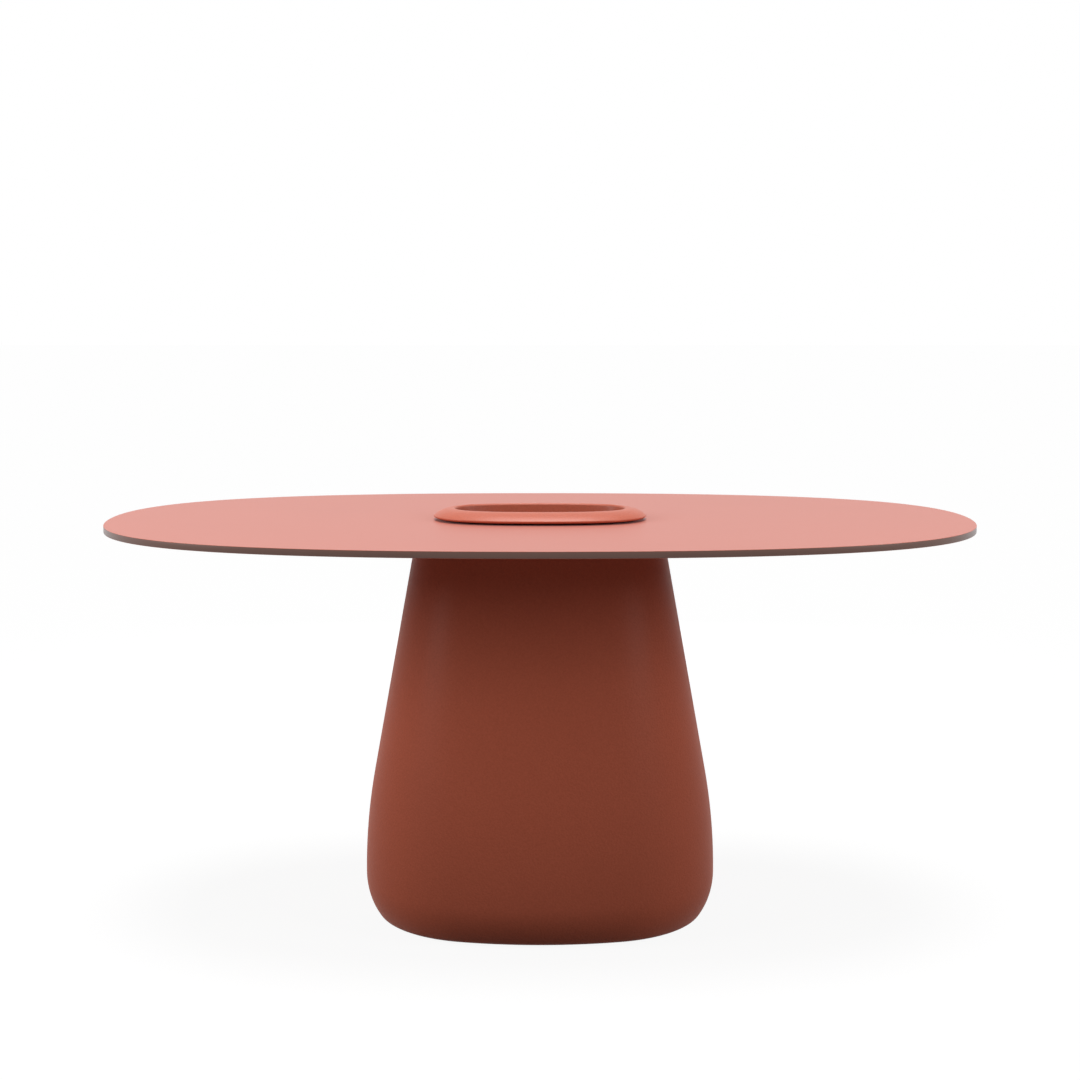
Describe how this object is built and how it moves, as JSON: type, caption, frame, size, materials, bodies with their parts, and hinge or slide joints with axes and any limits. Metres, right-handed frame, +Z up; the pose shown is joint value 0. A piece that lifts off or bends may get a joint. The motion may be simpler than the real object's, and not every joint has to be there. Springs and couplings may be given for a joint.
{
  "type": "table with ice bucket",
  "caption": "Oval dining table on a tapered moulded pedestal, with a lift-out ice bucket that hangs by its domed collar in the middle of the top.",
  "frame": {"origin": "on the floor under the middle of the top", "axes": "+X along the table's length, +Y to its back, +Z up"},
  "size_m": [1.6, 0.9, 0.7615],
  "materials": {
    "laminate": "satin solid laminate with a dark core",
    "moulded_shell": "satin moulded grain",
    "moulded_bucket": "satin",
    "rubber": "matt",
    "clamp_steel": "zinc plated",
    "bolt_steel": "zinc plated",
    "plate_steel": "black powder coat",
    "brass": "turned",
    "nylon": "matt",
    "stem_steel": "zinc plated"
  },
  "bodies": {
    "table": {"tabletop": "laminate", "base_shell": "moulded_shell", "clamp_front": "clamp_steel", "clamp_back": "clamp_steel", "clamp_left": "clamp_steel", "clamp_right": "clamp_steel", "top_bolts": "bolt_steel", "ballast_plate": "plate_steel", "plate_bolts": "bolt_steel", "plate_inserts": "brass"},
    "bucket": {"ice_bucket": "moulded_bucket", "collar_gasket": "rubber"},
    "pad_1": {"foot_pad_1": "nylon"},
    "stem_1": {"foot_stem_1": "stem_steel"},
    "pad_2": {"foot_pad_2": "nylon"},
    "stem_2": {"foot_stem_2": "stem_steel"},
    "pad_3": {"foot_pad_3": "nylon"},
    "stem_3": {"foot_stem_3": "stem_steel"},
    "pad_4": {"foot_pad_4": "nylon"},
    "stem_4": {"foot_stem_4": "stem_steel"}
  },
  "joints": [
    {"name": "bucket_lift", "type": "slide", "parent": "table", "child": "bucket", "axis": [0, 0, 1], "range_m": [0, 0.3]},
    {"name": "pad_1_travel", "type": "slide", "parent": "table", "child": "pad_1", "axis": [0, 0, -1], "range_m": [0, 0.01]},
    {"name": "stem_1_turn", "type": "hinge", "parent": "pad_1", "child": "stem_1", "pos_m": [0.19, 0.14, 0.016], "axis": [0, 0, -1], "range_deg": [0, 2400]},
    {"name": "pad_2_travel", "type": "slide", "parent": "table", "child": "pad_2", "axis": [0, 0, -1], "range_m": [0, 0.01]},
    {"name": "stem_2_turn", "type": "hinge", "parent": "pad_2", "child": "stem_2", "pos_m": [-0.19, 0.14, 0.016], "axis": [0, 0, -1], "range_deg": [0, 2400]},
    {"name": "pad_3_travel", "type": "slide", "parent": "table", "child": "pad_3", "axis": [0, 0, -1], "range_m": [0, 0.01]},
    {"name": "stem_3_turn", "type": "hinge", "parent": "pad_3", "child": "stem_3", "pos_m": [-0.19, -0.14, 0.016], "axis": [0, 0, -1], "range_deg": [0, 2400]},
    {"name": "pad_4_travel", "type": "slide", "parent": "table", "child": "pad_4", "axis": [0, 0, -1], "range_m": [0, 0.01]},
    {"name": "stem_4_turn", "type": "hinge", "parent": "pad_4", "child": "stem_4", "pos_m": [0.19, -0.14, 0.016], "axis": [0, 0, -1], "range_deg": [0, 2400]}
  ],
  "couplings": [
    {"joint": "stem_1_turn", "follows": "pad_1_travel", "rad_per_m": 4188.8},
    {"joint": "stem_2_turn", "follows": "pad_2_travel", "rad_per_m": 4188.8},
    {"joint": "stem_3_turn", "follows": "pad_3_travel", "rad_per_m": 4188.8},
    {"joint": "stem_4_turn", "follows": "pad_4_travel", "rad_per_m": 4188.8}
  ]
}
